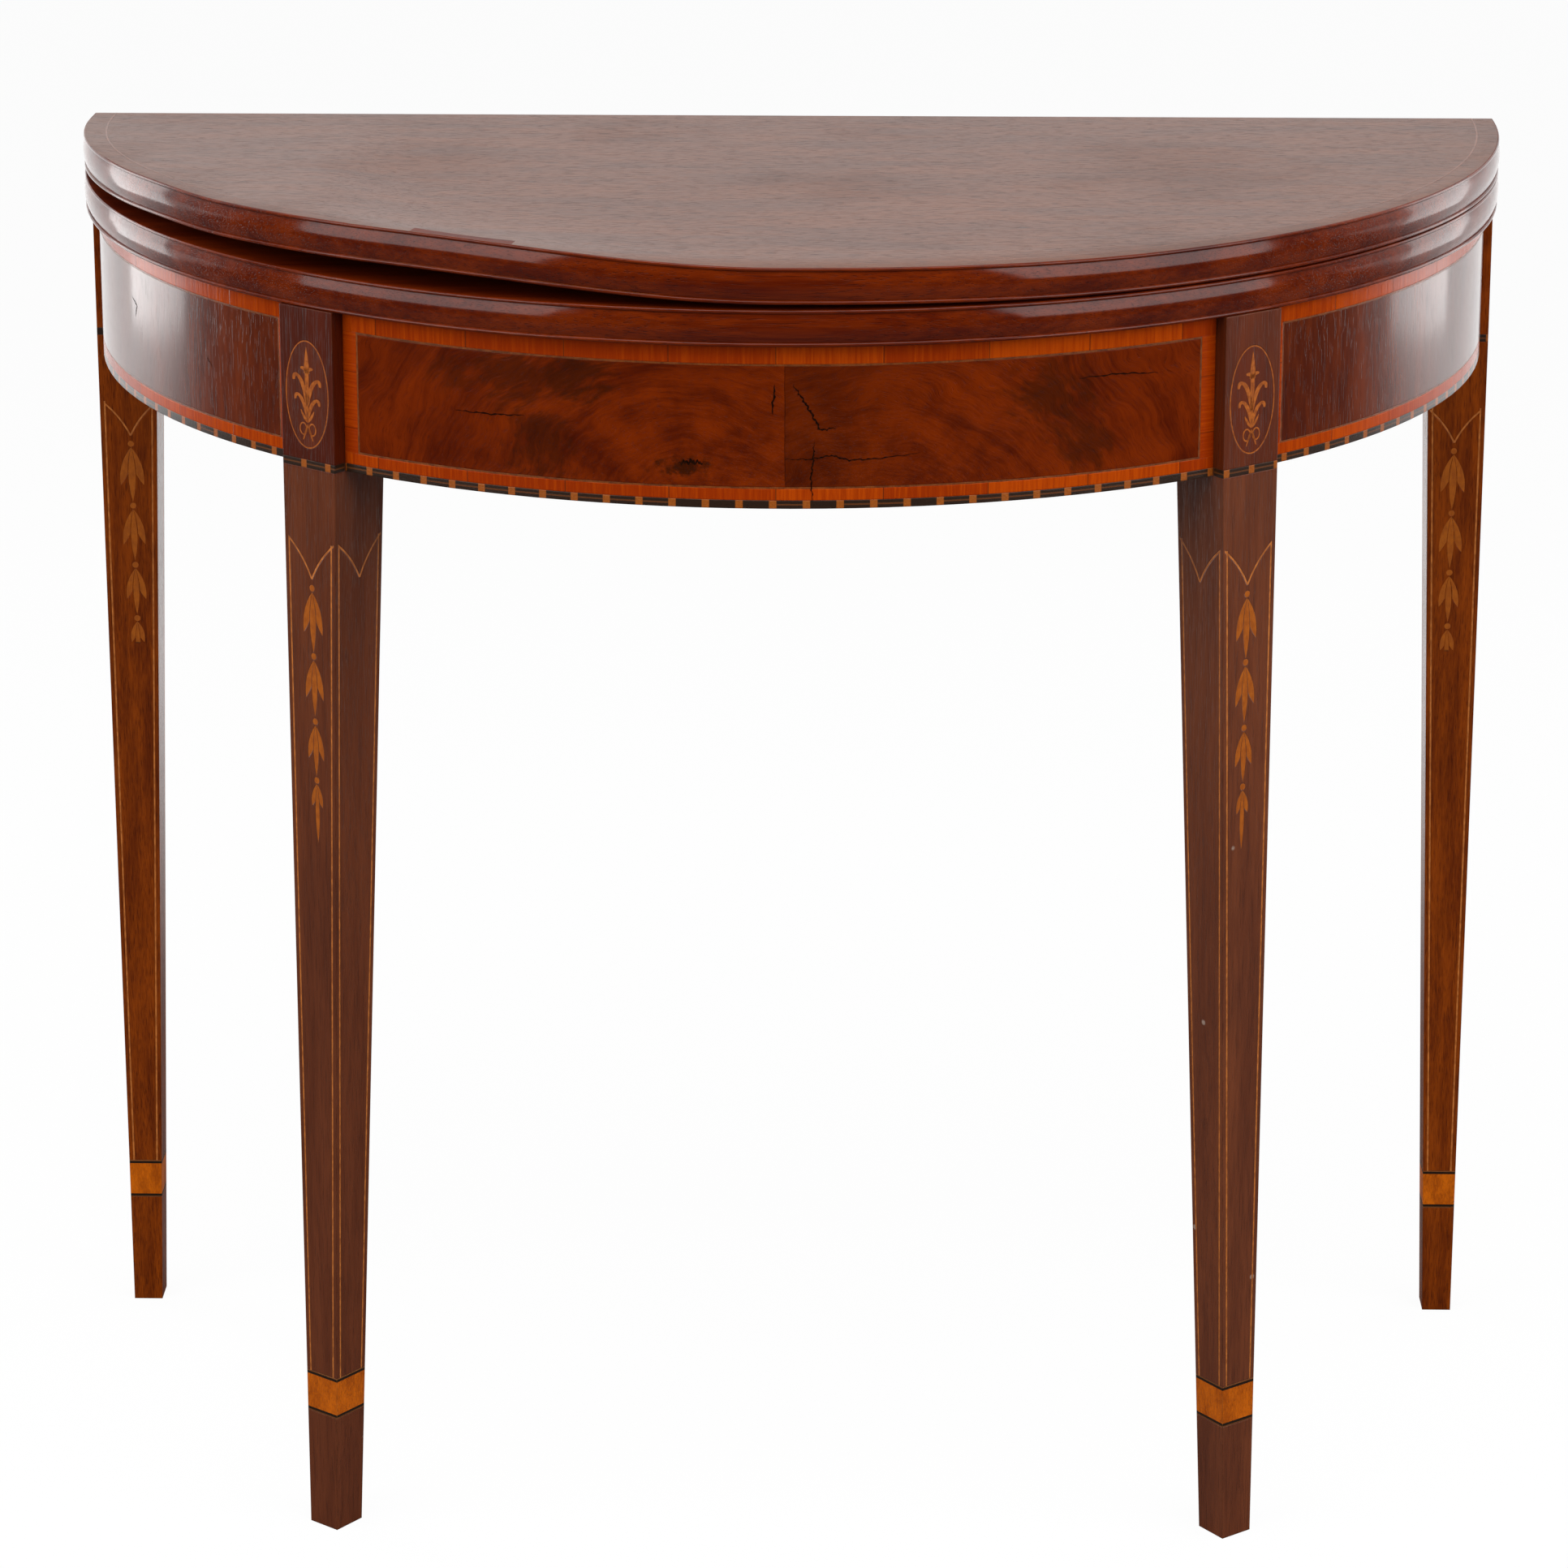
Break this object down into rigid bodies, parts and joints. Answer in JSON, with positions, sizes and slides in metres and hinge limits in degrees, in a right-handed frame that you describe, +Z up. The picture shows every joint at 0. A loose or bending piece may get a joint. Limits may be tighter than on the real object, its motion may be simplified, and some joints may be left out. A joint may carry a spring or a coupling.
{
  "type": "half-round folding games table",
  "caption": "Half-round games table: a hinged top leaf folds back onto swinging rear legs, over a veneered curved apron on square tapered legs with inlaid bands",
  "frame": {"origin": "on the floor under the middle of the closed table", "axes": "+X to the viewer's right along the width, +Y to the straight back edge, +Z up"},
  "size_m": [0.8554, 0.4452, 0.7764],
  "materials": {
    "mahogany": "polished mahogany",
    "flame_veneer": "polished figured mahogany veneer",
    "satinwood": "polished satinwood",
    "boxwood": "polished boxwood line",
    "dash_banding": "dark banding with light dashes",
    "secondary_wood": "plain unpolished softwood",
    "brass": "aged brass",
    "iron": "darkened iron"
  },
  "bodies": {
    "frame": {"lower_leaf": "mahogany", "apron_core": "secondary_wood", "centre_panel": "flame_veneer", "left_panel": "flame_veneer", "right_panel": "flame_veneer", "apron_crossbanding": "satinwood", "apron_string_lines": "boxwood", "apron_dash_banding": "dash_banding", "inner_back_rail": "secondary_wood", "knuckle_block": "secondary_wood", "knuckle_block_screws": "iron", "fixing_blocks": "secondary_wood", "top_screws": "iron", "lower_hinge_plates": "brass", "lower_hinge_screws": "brass", "hinge_rivets": "brass", "left_pivot_pin": "iron", "right_pivot_pin": "iron", "front_leg_left": "mahogany", "front_leg_left_die_band": "dash_banding", "front_leg_left_cuff": "satinwood", "front_leg_left_string_lines": "boxwood", "front_leg_left_husks": "satinwood", "front_leg_left_oval": "satinwood", "front_leg_right": "mahogany", "front_leg_right_die_band": "dash_banding", "front_leg_right_cuff": "satinwood", "front_leg_right_string_lines": "boxwood", "front_leg_right_husks": "satinwood", "front_leg_right_oval": "satinwood"},
    "top_leaf": {"upper_leaf": "mahogany", "top_string_line": "boxwood", "upper_hinge_plates": "brass", "upper_hinge_screws": "brass"},
    "left_gate": {"left_fly_rail": "secondary_wood", "rear_leg_left_pegs": "secondary_wood", "rear_leg_left": "mahogany", "rear_leg_left_die_band": "dash_banding", "rear_leg_left_cuff": "satinwood", "rear_leg_left_string_lines": "boxwood", "rear_leg_left_husks": "satinwood"},
    "right_gate": {"right_fly_rail": "secondary_wood", "rear_leg_right_pegs": "secondary_wood", "rear_leg_right": "mahogany", "rear_leg_right_die_band": "dash_banding", "rear_leg_right_cuff": "satinwood", "rear_leg_right_string_lines": "boxwood", "rear_leg_right_husks": "satinwood"}
  },
  "joints": [
    {"name": "leaf_fold", "type": "hinge", "parent": "frame", "child": "top_leaf", "pos_m": [0, 0.2176, 0.756], "axis": [-1, 0, 0], "range_deg": [0, 180]},
    {"name": "right_gate", "type": "hinge", "parent": "frame", "child": "right_gate", "pos_m": [0.13, 0.1949, 0.69], "axis": [0, 0, 1], "range_deg": [0, 90]},
    {"name": "left_gate", "type": "hinge", "parent": "frame", "child": "left_gate", "pos_m": [-0.13, 0.1949, 0.69], "axis": [0, 0, -1], "range_deg": [0, 90]}
  ]
}
